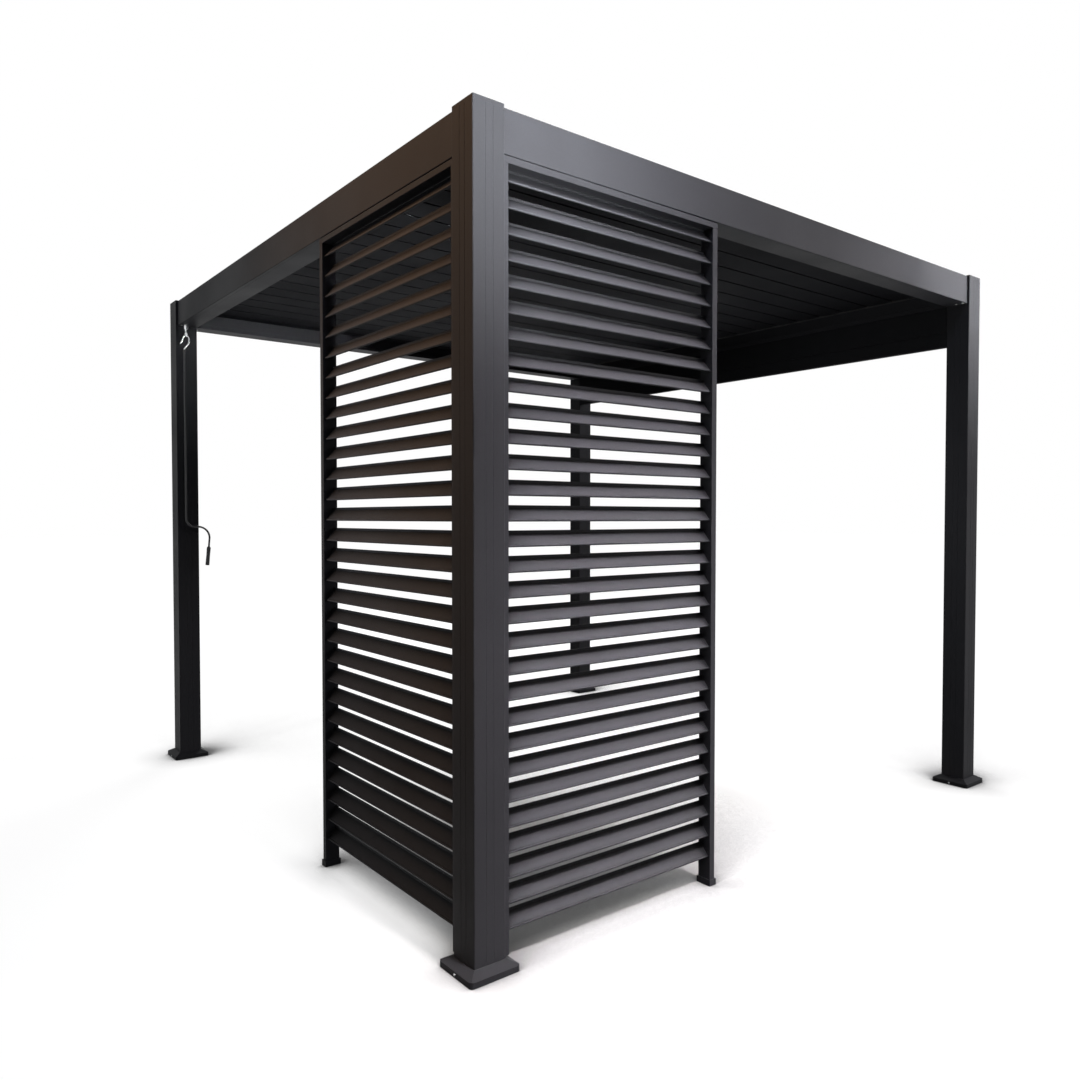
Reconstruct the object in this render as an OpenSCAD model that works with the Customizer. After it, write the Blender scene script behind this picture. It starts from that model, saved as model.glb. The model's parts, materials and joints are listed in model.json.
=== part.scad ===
// Garden gazebo in powder-coated aluminium: four square posts, four gutter beams,
// a closed roof of turning louvres and two fixed louvre screens at the near corner.
// +Z is up, the front is -Y and the left is -X. The origin is on the ground, under the middle.

/* [Overall] */
// Width over the posts, along X
frame_w = 3000; // [2700:10:3400]
// Depth over the posts, along Y
frame_d = 3000; // [2700:10:3400]
// Clear height under the beams
clear_h = 2365; // [2100:5:2600]

/* [Posts] */
// Outer width of the square posts
post_w = 110; // [104:1:120]
// Wall of the post tube
post_wall = 2.5; // [2:0.1:4]
// Radius of the post's upright edges
post_edge_r = 4; // [3:0.5:8]
// Width of the shallow grooves down each face of a post
groove_w = 2; // [1:0.5:4]
// Depth of those grooves
groove_deep = 0.5; // [0.4:0.1:1.2]
// Distance between the two grooves of a face
groove_gap = 26; // [16:1:50]
// Thickness of the post caps
cap_t = 12; // [8:1:20]
// Height of the post caps over the beams
cap_step = 4; // [2:1:16]
// Depth of the cap's plug inside the post
cap_plug = 25; // [10:1:40]

/* [Feet] */
// Thickness of the base plates
plate_t = 8; // [5:1:12]
// Edge of the square base plates
plate_w = 156; // [150:1:160]
// Distance between the anchor holes of a base plate
anchor_pitch = 132; // [128:1:136]
// Radius of the anchor holes
anchor_r = 5.5; // [4:0.5:6]
// Overhang of the foot covers round the post
foot_out = 32; // [30:1:40]
// Height of the foot covers
foot_h = 34; // [30:1:50]
// Height of the upright rim of the foot covers
foot_rim_h = 18; // [14:1:24]
// Wall of the foot covers
foot_wall = 3; // [2:0.5:4]
// Radius of the foot covers' corners
foot_corner_r = 12; // [6:1:20]

/* [Beams] */
// Height of the beams
beam_h = 131; // [115:1:160]
// Inset of the beams from the posts' outer faces
beam_inset = 10; // [6:1:20]
// Width of the beams' closed chamber
chamber_w = 60; // [54:1:66]
// Wall of the beams
beam_wall = 2; // [1.5:0.1:3]
// Radius of the beams' outer edges
beam_edge_r = 2.5; // [1:0.5:6]
// Height of the gutter's inner lip
gutter_lip_h = 23; // [15:1:28]
// Radius of the rolled edge on that lip
lip_bead_r = 2.2; // [1.5:0.1:3]
// Width of the flange that covers the louvres' pivots
flange_w = 18; // [8:1:19]

/* [Roof louvres] */
// Thickness of the louvres under their pivots
louvre_down = 13; // [10:0.5:16]
// Height of the louvres' top over their pivots
louvre_up = 6; // [6:0.5:10]
// Wall of the louvre extrusion
louvre_wall = 1.4; // [1:0.1:2]
// Gap between two louvres, seen from below
louvre_gap = 10; // [8:0.5:14]
// Reach of the upper lip over the next louvre
lip_over = 20; // [18:0.5:24]
// Width of the drain channel on the other edge
drain_w = 18; // [16:0.5:22]
// Height of the drain channel's rim
drain_h = 9; // [6:0.5:10]
// Clearance from the first and last louvre to the posts
louvre_end_clear = 6.5; // [6:0.1:12]
// Reach of the louvres over the gutters
louvre_reach = 15; // [8:1:16]
// Thickness of the louvres' end plates
end_plate_t = 3; // [2:0.5:4]
// Radius of the pivot pins
pivot_r = 4; // [3:0.5:5]
// Radial clearance of the pivot pins
pivot_fit = 0.05; // [0.02:0.01:0.1]
// Width of the sloping shoulder on a louvre's top
shoulder_w = 12; // [6:0.5:14]
// Clearance under the swinging louvres
swing_clear = 8; // [6:0.5:14]

/* [Louvre drive] */
// Thickness of the bearing strips
strip_t = 5; // [3:0.5:6]
// Height of the bearing strips
strip_h = 26; // [22:1:30]
// Radius of the bearing bosses
boss_r = 9; // [7:0.5:10]
// Length of the bearing bosses in front of the strip
boss_l = 6; // [3:0.5:7]
// Distance from a pivot to the link bar's pin
lever_l = 40; // [36:1:44]
// Radius of the lever pins
lever_pin_r = 3; // [2:0.5:4]
// Half width of the levers
lever_r = 8; // [6:0.5:9]
// Height of the link bar
link_h = 16; // [14:1:20]
// Thickness of the link bar
link_t = 4; // [3:0.5:4]
// Gap between the louvres' end plates and the link bar
link_gap = 5; // [5:0.5:6]
// Radial clearance of the lever pins, other than the driven louvre's
link_play = 0.4; // [0.2:0.1:0.8]
// Length of the gearbox along the beam
gearbox_l = 110; // [100:1:120]
// Height of the gearbox
gearbox_h = 70; // [60:1:76]
// Distance from the driven louvre's pivot to the crank's eye
gear_reach = 49; // [40:1:55]
// Depth of the eye's stem in the gearbox
stem_seat = 25; // [15:1:35]

/* [Crank] */
// Radius of the eye's stem
stem_r = 6; // [4:0.5:7]
// Length of the eye's stem under its collar
stem_l = 8; // [5:1:30]
// Radius of the collar under the beam
collar_r = 10; // [9:0.5:14]
// Height of the collar under the beam
collar_h = 27; // [10:1:40]
// Radius of the eye, to the middle of its bar
eye_r = 13.5; // [12:0.5:18]
// Radius of the eye's bar
eye_bar_r = 3.5; // [2.5:0.5:4]
// Radius of the hook's bar
hook_bar_r = 3.5; // [3:0.5:4]
// Radius of the hook over the eye, to the middle of its bar
hook_r = 15; // [12:0.5:18]
// Length of the hook's flared tip
hook_tip = 27; // [10:1:40]
// Angle of the hook's flared tip
tip_flare = 27; // [10:1:40]
// Length of the hook's straight side
hook_side = 20; // [10:1:30]
// Angle of the hook's slant back to the rod
hook_slant = 38; // [30:1:50]
// Radius of the hook's small bends
hook_bend = 14; // [8:1:16]
// Offset of the rod from the eye
rod_offset = 10; // [0:1:14]
// Depth of the hook's shank in the rod
shank_seat = 30; // [20:1:50]
// Radius of the crank's rod
rod_r = 5; // [5:0.5:7]
// Height of the crank's arm over the ground
arm_z = 1272; // [1100:1:1400]
// Throw of the crank, from the rod to the outside of its lower bend
crank_throw = 123; // [110:1:150]
// Radius of the upper bend of the crank's arm
bend_a = 45; // [25:1:45]
// Radius of the lower bend of the crank's arm
bend_b = 60; // [40:1:62]
// Lean of the grip back towards the rod
grip_lean = 5; // [0:1:10]
// Length of the grip
grip_l = 104; // [90:1:140]
// Radius of the grip
grip_r = 10.5; // [9:0.5:15]
// Depth of the grip's waist
grip_waist = 1; // [0.5:0.1:2]
// Radius of the grip's lower edge
grip_round = 3; // [1:0.5:5]
// Height of the sloping shoulder at the grip's top
grip_shoulder = 8; // [4:0.5:16]
// Thickness of the grip's closed end
grip_end = 6; // [3:0.5:12]
// Length of bare rod between the lower bend and the grip
grip_drop = 44; // [20:1:70]

/* [Louvre screens] */
// Width of a screen, from the near post to its outer edge
screen_w = 935; // [700:5:1200]
// Depth of the screen's frame
screen_deep = 54; // [50:1:60]
// Width of the jamb beside the post
jamb_w = 20; // [14:1:26]
// Width of the outer stile
stile_w = 25; // [20:1:32]
// Height of the top rail
rail_h = 23; // [18:1:30]
// Wall of the screen's frame
screen_wall = 2; // [1.5:0.1:3]
// Radius of the screen frame's edges
screen_edge_r = 1.2; // [0.5:0.1:1.5]
// Height of the shadow gap at the top rail's front edge
shadow_h = 4; // [2:0.5:6]
// Depth of that shadow gap
shadow_deep = 6; // [3:0.5:10]
// Distance from one slat to the next
slat_pitch = 75.5; // [60:0.5:78]
// Height of the lowest slat's nose over the ground
slat_low = 106; // [90:0.5:140]
// Setback of the slats' noses in their frame
slat_in = 8; // [4:0.5:12]
// Clearance behind the slats in their frame
slat_back = 12; // [4:0.5:16]
// Slope of the slats
slat_slope = 50; // [30:0.5:54]
// Thickness of the slats
slat_t = 2.4; // [1.6:0.1:3]
// Radius of the slats' noses
nose_r = 4; // [2:0.5:5]
// Height of the turned-up edge at the slats' back
slat_lip = 5.5; // [3:0.5:8]
// Gap between the slats and their frame
seat_gap = 0.3; // [0.2:0.1:0.5]
// Overhang of the stile's foot cap
shoe_out = 4; // [2:0.5:8]
// Height of the stile's foot cap
shoe_h = 22; // [10:1:40]

/* [Side blind] */
// Depth of the blind's box under the right-hand beam
blind_deep = 85; // [70:1:90]
// Height of the blind's box
blind_h = 128; // [110:1:140]
// Wall of the blind's box
blind_wall = 2; // [1.5:0.1:3]
// Radius of the edges of the blind's box and bottom bar
blind_edge_r = 3; // [1:0.5:4]
// Height of the blind's bottom bar
bar_h = 69; // [40:1:80]
// Depth of the blind's bottom bar
bar_deep = 30; // [20:1:40]
// Width of the slot that the blind's cloth runs through
cloth_slot = 6; // [3:0.5:10]

/* [Hidden] */
louvre_n = 19;
function two_digits(i) = str(i < 10 ? "0" : "", i);
function louvre_name(i) = str("louvre_", two_digits(i));
$fn = 32;

half_w = frame_w / 2;
half_d = frame_d / 2;
beam_deep = post_w - beam_inset;
beam_top = clear_h + beam_h;
total_h = beam_top + cap_step;
post_top = total_h - cap_t;
inner_w = frame_w - 2 * post_w;
inner_d = frame_d - 2 * post_w;
gutter_w = beam_deep - chamber_w;
foot_w = post_w + 2 * foot_out;

// The louvres share the depth between the posts, each with its lip over the next one.
lip_past = lip_over - louvre_gap / 2;
pitch = (inner_d - 2 * louvre_end_clear - lip_past + louvre_gap / 2) / louvre_n;
body_half = (pitch - louvre_gap) / 2;
louvre_first = -inner_d / 2 + louvre_end_clear + body_half;
louvre_low_r = norm([body_half, louvre_down]);
pivot_z = clear_h + gutter_lip_h + swing_clear + louvre_low_r;
louvre_half = inner_w / 2 + louvre_reach;
wall_x = inner_w / 2 + gutter_w;
lever_y = -lever_l * sin(45);
lever_z = -lever_l * cos(45);
lever_side = lever_r - 0.5;
function louvre_y(i) = louvre_first + (i - 1) * pitch;
link_x = louvre_half + link_gap;

gearbox_top = beam_top - beam_wall - seat_gap;
gearbox_low = gearbox_top - gearbox_h;
rod_fit = 0.15;
bead = 0.05;
eye_x = -half_w + beam_inset + chamber_w / 2;
eye_y = louvre_y(louvre_n) + gear_reach;
eye_z = clear_h - collar_h - stem_l - eye_r - eye_bar_r;

// The crank is a bent bar: each step is a straight run, a turn and the radius of that turn.
hook_z = eye_z - eye_r + eye_bar_r + seat_gap - hook_r + hook_bar_r;
slant_l = (hook_r + rod_offset - 2 * hook_bend * (1 - cos(hook_slant))) / sin(hook_slant);
hook_drop = hook_side + 2 * hook_bend * sin(hook_slant) + slant_l * cos(hook_slant);
rod_top = hook_z - hook_drop - seat_gap;
tip_steps = [[0, -tip_flare, hook_bend], [hook_tip, 0, 0]];
shank_steps = [[hook_side, -hook_slant, hook_bend], [slant_l, hook_slant, hook_bend],
               [shank_seat, 0, 0]];
rod_steps = [[rod_top - arm_z - bend_a, 90, bend_a],
             [crank_throw - bend_a - bend_b, -90 - grip_lean, bend_b],
             [grip_drop + grip_l - grip_end, 0, 0]];

// A square with rounded corners, centred.
module rounded_square(w, r) {
    square([w, w - 2 * r], center = true);
    square([w - 2 * r, w], center = true);
    for (x = [-1, 1], y = [-1, 1])
        translate([x * (w / 2 - r), y * (w / 2 - r)]) circle(r);
}

// A rectangle with rounded corners, from the origin.
module rounded_rect(w, h, r) {
    translate([r, 0]) square([w - 2 * r, h]);
    translate([0, r]) square([w, h - 2 * r]);
    for (x = [r, w - r], y = [r, h - r])
        translate([x, y]) circle(r);
}

// A tube with a rectangular section, from the origin, with its outer edges rounded.
module rect_tube(w, h, wall, edge_r) {
    difference() {
        rounded_rect(w, h, edge_r);
        translate([wall, wall]) square([w - 2 * wall, h - 2 * wall]);
    }
}

module at_posts() {
    for (x = [-1, 1], y = [-1, 1])
        translate([x * (half_w - post_w / 2), y * (half_d - post_w / 2), 0]) children();
}

module post_section() {
    difference() {
        rounded_square(post_w, post_edge_r);
        rounded_square(post_w - 2 * post_wall, post_edge_r - post_wall / 2);
        for (a = [0 : 90 : 270], s = [-1, 1])
            rotate(a) translate([post_w / 2, s * groove_gap / 2])
                square([2 * groove_deep, groove_w], center = true);
    }
}

module post(side_x, side_y) {
    color("#3b3c40")
        translate([side_x * (half_w - post_w / 2), side_y * (half_d - post_w / 2), plate_t])
            linear_extrude(post_top - plate_t) post_section();
}

module post_caps() {
    color("#3b3c40") at_posts() {
        translate([0, 0, post_top]) linear_extrude(cap_t) rounded_square(post_w, post_edge_r);
        translate([0, 0, post_top - cap_plug])
            linear_extrude(cap_plug)
                rounded_square(post_w - 2 * post_wall - 2 * seat_gap, post_edge_r - post_wall / 2);
    }
}

module base_plates() {
    color("#8c8f93") at_posts()
        difference() {
            translate([-plate_w / 2, -plate_w / 2, 0]) cube([plate_w, plate_w, plate_t]);
            for (x = [-1, 1], y = [-1, 1])
                translate([x * anchor_pitch / 2, y * anchor_pitch / 2, -1])
                    cylinder(r = anchor_r, h = plate_t + 2);
        }
}

// One side view of a foot cover: an upright rim and a slope up to the post.
module foot_side(w, rim, h) {
    slope_in = foot_out - foot_wall;
    polygon([[-w / 2, 0], [w / 2, 0], [w / 2, rim], [w / 2 - slope_in, h],
             [-w / 2 + slope_in, h], [-w / 2, rim]]);
}

module foot_block(w, rim, h, r) {
    intersection() {
        linear_extrude(h) rounded_square(w, r);
        rotate([90, 0, 0]) linear_extrude(w + 2, center = true) foot_side(w, rim, h);
        rotate([90, 0, 90]) linear_extrude(w + 2, center = true) foot_side(w, rim, h);
    }
}

module foot_covers() {
    color("#36373b") at_posts()
        difference() {
            foot_block(foot_w, foot_rim_h, foot_h, foot_corner_r);
            translate([0, 0, -foot_wall])
                foot_block(foot_w - 2 * foot_wall, foot_rim_h, foot_h, foot_corner_r - foot_wall);
            translate([0, 0, foot_h / 2])
                linear_extrude(foot_h) rounded_square(post_w + 2 * seat_gap, post_edge_r);
        }
}

// The section of every beam: a closed chamber outside and a gutter inside.
// X runs outwards from the gutter's lip, and Y runs up from the beam's underside.
module beam_section() {
    difference() {
        translate([gutter_w, 0]) rounded_rect(chamber_w, beam_h, beam_edge_r);
        translate([gutter_w + beam_wall, beam_wall])
            square([chamber_w - 2 * beam_wall, beam_h - 2 * beam_wall]);
    }
    square([gutter_w + beam_edge_r, beam_wall]);
    square([beam_wall, gutter_lip_h - lip_bead_r]);
    translate([lip_bead_r, gutter_lip_h - lip_bead_r]) circle(lip_bead_r);
    translate([gutter_w - flange_w, beam_h - beam_wall]) square([flange_w + beam_edge_r, beam_wall]);
}

// A beam along X on the back side, turned to its own side.
module beam(turn, inner_half, length) {
    rotate(turn) translate([0, inner_half, clear_h])
        rotate([90, 0, 90]) linear_extrude(length, center = true) beam_section();
}

module front_beam() { color("#43444a") beam(180, inner_d / 2, inner_w); }
module back_beam() { color("#43444a") beam(0, inner_d / 2, inner_w); }
module right_beam() { color("#43444a") beam(-90, inner_w / 2, inner_d); }

// The left beam has a hole under the gearbox for the eye's stem, and one beside it for the drive pin.
module left_beam() {
    color("#43444a") difference() {
        beam(90, inner_w / 2, inner_d);
        translate([eye_x, eye_y, clear_h - 1]) cylinder(r = stem_r + 1, h = beam_wall + 2);
        translate([-wall_x - beam_wall - 1, louvre_y(louvre_n), pivot_z])
            rotate([0, 90, 0]) cylinder(r = pivot_r + 1, h = beam_wall + 2);
    }
}

// The edge of a louvre that reaches over its neighbour: X from the body's side, Y from the pivot.
module over_lip(reach, from) {
    translate([from, louvre_up - louvre_wall]) square([reach - from, louvre_wall]);
    translate([reach - louvre_wall, louvre_up - drain_h]) square([louvre_wall, drain_h]);
}

module drain_edge(from, to) {
    translate([from, -louvre_down]) square([to - from, louvre_wall]);
    translate([from, -louvre_down]) square([louvre_wall, drain_h]);
}

module front_roof_filler() {
    lip_end = louvre_first - pitch / 2 + lip_past;
    flange_y = -inner_d / 2 - gutter_w;
    color("#33343a") translate([0, 0, pivot_z]) rotate([90, 0, 90])
        linear_extrude(inner_w, center = true) {
            over_lip(lip_end, flange_y);
            translate([flange_y, louvre_up - strip_h]) square([beam_wall, strip_h]);
        }
}

module back_roof_filler() {
    drain_start = louvre_y(louvre_n) + pitch / 2 + louvre_gap / 2;
    flange_y = inner_d / 2 + gutter_w;
    color("#33343a") translate([0, 0, pivot_z]) rotate([90, 0, 90])
        linear_extrude(inner_w, center = true) {
            drain_edge(drain_start, flange_y);
            translate([flange_y - beam_wall, -louvre_down]) square([beam_wall, strip_h]);
        }
}

// A bearing strip on the chamber of the left or right beam, with a bored boss at each pivot.
module bearing_strip(side) {
    difference() {
        union() {
            translate([side > 0 ? wall_x - strip_t : -wall_x, -inner_d / 2, pivot_z - strip_h / 2])
                cube([strip_t, inner_d, strip_h]);
            for (i = [1 : louvre_n])
                translate([side * (wall_x - strip_t - boss_l), louvre_y(i), pivot_z])
                    rotate([0, side * 90, 0]) cylinder(r = boss_r, h = boss_l + 1);
        }
        for (i = [1 : louvre_n])
            translate([side * (wall_x - strip_t - boss_l - 1), louvre_y(i), pivot_z])
                rotate([0, side * 90, 0]) cylinder(r = pivot_r + pivot_fit, h = strip_t + boss_l + 2);
    }
}

module bearing_strips() {
    color("#1c1d1f") {
        bearing_strip(-1);
        bearing_strip(1);
    }
}

// The outline of a louvre's closed body, with sloping shoulders on its top.
module louvre_outline(inset) {
    left = -body_half + drain_w + inset;
    right = body_half - inset;
    low = -louvre_down + inset;
    high = louvre_up - inset;
    polygon([[left, low], [right, low], [right, high], [left + shoulder_w, high],
             [left, high - shoulder_w / 2]]);
}

// The section of a louvre round its pivot: a hollow body, a drain channel and an upper lip.
module louvre_section() {
    web = louvre_wall / 2;
    difference() {
        louvre_outline(0);
        difference() {
            louvre_outline(louvre_wall);
            translate([-web - body_half / 4, -louvre_down]) square([louvre_wall, louvre_down + louvre_up]);
            translate([-web + body_half / 2, -louvre_down]) square([louvre_wall, louvre_down + louvre_up]);
        }
    }
    over_lip(pitch / 2 + lip_past, body_half - louvre_wall);
    drain_edge(-body_half, -body_half + drain_w + louvre_wall);
}

module louvre_end_section() {
    louvre_outline(0);
    over_lip(pitch / 2 + lip_past, body_half - louvre_wall);
    translate([-body_half, -louvre_down]) square([drain_w + 1, drain_h]);
    circle(boss_r);
}

module lever_section() {
    louvre_end_section();
    rotate(-45) translate([-lever_side, -lever_l]) square([2 * lever_side, lever_l]);
    translate([lever_y, lever_z]) circle(lever_r);
}

// A louvre with its end plates, pivot pins and, at the left, its lever and lever pin.
module louvre(i) {
    plate_face = louvre_half - end_plate_t;
    pin_reach = wall_x - seat_gap;
    drive_reach = i == louvre_n ? wall_x + chamber_w / 2 : pin_reach;
    color("#2f3034") translate([0, louvre_y(i), pivot_z]) {
        rotate([90, 0, 90]) {
            linear_extrude(2 * plate_face, center = true) louvre_section();
            translate([0, 0, plate_face]) linear_extrude(end_plate_t) louvre_end_section();
            translate([0, 0, -louvre_half]) linear_extrude(end_plate_t) lever_section();
            translate([0, 0, plate_face]) cylinder(r = pivot_r, h = pin_reach - plate_face);
            translate([0, 0, -drive_reach]) cylinder(r = pivot_r, h = drive_reach - plate_face);
            translate([lever_y, lever_z, -link_x - link_t - end_plate_t])
                cylinder(r = lever_pin_r, h = link_gap + link_t + end_plate_t + 1);
        }
    }
}

// The bar that joins all the levers. The driven louvre's pin fits it closely, the others with play.
module link_bar() {
    color("#9a9da1") difference() {
        translate([-link_x - link_t, louvre_y(1) + lever_y - link_h, pivot_z + lever_z - link_h / 2])
            cube([link_t, (louvre_n - 1) * pitch + 2 * link_h, link_h]);
        for (i = [1 : louvre_n])
            translate([-link_x - link_t - 1, louvre_y(i) + lever_y, pivot_z + lever_z])
                rotate([0, 90, 0])
                    cylinder(r = lever_pin_r + (i == louvre_n ? pivot_fit : link_play), h = link_t + 2);
    }
}

// The worm gearbox inside the left beam's chamber, bored for the drive pin and the eye's stem.
module gearbox() {
    box_w = chamber_w - 2 * beam_wall - 2 * seat_gap;
    box_y = (louvre_y(louvre_n) + eye_y) / 2;
    color("#6d7074") difference() {
        translate([eye_x - box_w / 2, box_y - gearbox_l / 2, gearbox_low])
            cube([box_w, gearbox_l, gearbox_h]);
        translate([eye_x - 1, louvre_y(louvre_n), pivot_z])
            rotate([0, 90, 0]) cylinder(r = pivot_r + pivot_fit, h = chamber_w);
        translate([eye_x, eye_y, gearbox_low - 1])
            cylinder(r = stem_r + seat_gap, h = stem_seat + 1 + seat_gap);
    }
}

module crank_eye() {
    stem_low = eye_z + eye_r;
    color("silver") translate([eye_x, eye_y, 0]) {
        translate([0, 0, stem_low]) cylinder(r = stem_r, h = gearbox_low + stem_seat - stem_low);
        translate([0, 0, clear_h - collar_h]) cylinder(r = collar_r, h = collar_h);
        translate([0, 0, eye_z]) rotate([0, 90, 0])
            rotate_extrude() translate([eye_r, 0]) circle(eye_bar_r);
    }
}

// Moves its children along one step of a bent bar, which starts downwards. A turn over 0 is to +X.
module along_step(step) {
    translate([sign(step[1]) * step[2] * (1 - cos(step[1])), 0, -step[0] - step[2] * sin(abs(step[1]))])
        rotate([0, -step[1], 0]) children();
}

module after_steps(steps, n) {
    if (n == 0) children();
    else after_steps(steps, n - 1) along_step(steps[n - 1]) children();
}

// One step of the bar: its run, its bend, and a ball that closes each end of the bend.
module bar_step(step, r) {
    if (step[0] > 0) translate([0, 0, -step[0]]) cylinder(r = r, h = step[0]);
    if (step[1] != 0) {
        translate([0, 0, -step[0]]) sphere(r + bead);
        translate([sign(step[1]) * step[2], 0, -step[0]]) rotate([90, 0, 0])
            rotate(step[1] > 0 ? 180 : step[1]) rotate_extrude(angle = abs(step[1]))
                translate([step[2], 0]) circle(r);
        along_step(step) sphere(r + bead);
    }
}

module bent_bar(steps, r) {
    for (n = [0 : len(steps) - 1])
        after_steps(steps, n) bar_step(steps[n], r);
}

// The hook hangs over the eye's bar. Its tip flares out, and its shank goes down into the rod.
module crank_hook() {
    color("silver") translate([eye_x, eye_y, hook_z]) {
        rotate([90, 0, 0]) rotate_extrude(angle = 180) translate([hook_r, 0]) circle(hook_bar_r);
        translate([-hook_r, 0, 0]) bent_bar(tip_steps, hook_bar_r);
        translate([-hook_r, 0, 0]) after_steps(tip_steps, len(tip_steps)) sphere(hook_bar_r);
        translate([hook_r, 0, 0]) bent_bar(shank_steps, hook_bar_r);
        translate([hook_r, 0, 0]) sphere(hook_bar_r + bead);
    }
}

module at_rod_top() { translate([eye_x - rod_offset, eye_y, rod_top]) children(); }

module crank_rod() {
    color("#2a2b2e") at_rod_top() difference() {
        bent_bar(rod_steps, rod_r);
        translate([0, 0, -shank_seat - rod_fit]) cylinder(r = hook_bar_r + rod_fit, h = shank_seat + 1);
    }
}

// The grip's outline, from its closed lower end: a round edge, a soft waist and a sloping shoulder.
module grip_outline() {
    translate([grip_r - grip_round, grip_round]) circle(grip_round);
    square([grip_r - grip_round, grip_l / 2]);
    polygon([[0, grip_round], [grip_r, grip_round], [grip_r - grip_waist, grip_l / 2],
             [grip_r, grip_l - grip_shoulder], [rod_r + grip_waist, grip_l], [0, grip_l]]);
}

module crank_grip() {
    color("#141516") at_rod_top() after_steps(rod_steps, len(rod_steps)) translate([0, 0, -grip_end])
        difference() {
            rotate_extrude() grip_outline();
            translate([0, 0, grip_end - rod_fit]) cylinder(r = rod_r + rod_fit, h = grip_l);
        }
}

// A screen stands beside the near post. Here X runs from the post's outer corner along the screen,
// and Y runs inwards from the post's outer face.
screen_end = post_w + screen_w;
slat_from = post_w + jamb_w + seat_gap;
slat_to = screen_end - stile_w - seat_gap;
frame_top = clear_h - rail_h - seat_gap;

// The slats fill the frame from the lowest one up to the rail.
slat_run = screen_deep - slat_in - slat_back - nose_r;
slat_rise = slat_run * tan(slat_slope);
slat_h = nose_r + slat_rise + slat_lip;
slat_n = floor((frame_top - slat_low - slat_h) / slat_pitch) + 1;

module screen_frame() {
    translate([0, beam_inset, 0]) {
        translate([post_w, 0, foot_h + seat_gap])
            linear_extrude(frame_top - foot_h - seat_gap)
                rect_tube(jamb_w, screen_deep, screen_wall, screen_edge_r);
        translate([screen_end - stile_w, 0, screen_wall + seat_gap])
            linear_extrude(frame_top - screen_wall - seat_gap)
                rect_tube(stile_w, screen_deep, screen_wall, screen_edge_r);
        translate([post_w, 0, clear_h - rail_h]) rotate([90, 0, 90])
            linear_extrude(screen_w) difference() {
                rounded_rect(screen_deep, rail_h, screen_edge_r);
                translate([shadow_deep + screen_wall, screen_wall])
                    square([screen_deep - shadow_deep - 2 * screen_wall, rail_h - 2 * screen_wall]);
                translate([-1, rail_h - shadow_h]) square([shadow_deep + 1, shadow_h + 1]);
            }
        translate([screen_end - stile_w - shoe_out, -shoe_out, 0]) difference() {
            cube([stile_w + 2 * shoe_out, screen_deep + 2 * shoe_out, shoe_h]);
            translate([shoe_out - seat_gap, shoe_out - seat_gap, screen_wall])
                cube([stile_w + 2 * seat_gap, screen_deep + 2 * seat_gap, shoe_h]);
        }
    }
}

// A slat's section: a round nose low at the front, a slope, and an edge turned up at the back.
module slat_section() {
    back = nose_r + slat_run;
    translate([nose_r, 0]) circle(nose_r, $fn = 20);
    polygon([[nose_r, nose_r - slat_t], [back, nose_r - slat_t + slat_rise], [back, slat_h],
             [back - slat_t, slat_h], [back - slat_t, nose_r + slat_rise - slat_t * tan(slat_slope)],
             [nose_r, nose_r]]);
}

module screen_slats() {
    for (k = [0 : slat_n - 1])
        translate([slat_from, beam_inset + slat_in, slat_low + k * slat_pitch])
            rotate([90, 0, 90]) linear_extrude(slat_to - slat_from) slat_section();
}

module on_front() { translate([-half_w, -half_d, 0]) children(); }
module on_left() { translate([-half_w, -half_d, 0]) mirror([1, -1, 0]) children(); }
module front_screen_frame() { color("#3f4045") on_front() screen_frame(); }
module front_screen_slats() { color("#4a4b50") on_front() screen_slats(); }
module left_screen_frame() { color("#3f4045") on_left() screen_frame(); }
module left_screen_slats() { color("#4a4b50") on_left() screen_slats(); }

// The retracted blind under the right-hand beam: X runs outwards from the gutter's lip.
module blind_box() {
    color("#2c2d31") translate([inner_w / 2, inner_d / 2, clear_h - blind_h]) rotate([90, 0, 0])
        linear_extrude(inner_d) difference() {
            rect_tube(blind_deep, blind_h, blind_wall, blind_edge_r);
            translate([(bar_deep - cloth_slot) / 2, -1]) square([cloth_slot, blind_wall + 2]);
        }
}

module blind_bottom_bar() {
    color("#2c2d31") translate([inner_w / 2, inner_d / 2 - seat_gap, clear_h - blind_h - bar_h - seat_gap])
        rotate([90, 0, 0]) linear_extrude(inner_d - 2 * seat_gap)
            rect_tube(bar_deep, bar_h, blind_wall, blind_edge_r);
}

post(-1, -1);  // near_post
post(1, -1);  // front_right_post
post(-1, 1);  // back_left_post
post(1, 1);  // back_right_post
post_caps();
base_plates();
foot_covers();
front_beam();
back_beam();
left_beam();
right_beam();
front_roof_filler();
back_roof_filler();
bearing_strips();
for (i = [1 : louvre_n])
    louvre(i);
link_bar();
gearbox();
crank_eye();
crank_hook();
crank_rod();
crank_grip();
front_screen_frame();
front_screen_slats();
left_screen_frame();
left_screen_slats();
blind_box();
blind_bottom_bar();
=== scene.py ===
"""Finish of the louvred gazebo: powder coat, metal and rubber on the packed pieces, the screws,
bolts, clips and seals that hold them, and the studio around it."""

import json
import math

import bmesh
import bpy
from bpy.props import FloatProperty, FloatVectorProperty, PointerProperty
from mathutils import Euler, Matrix, Vector


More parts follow.
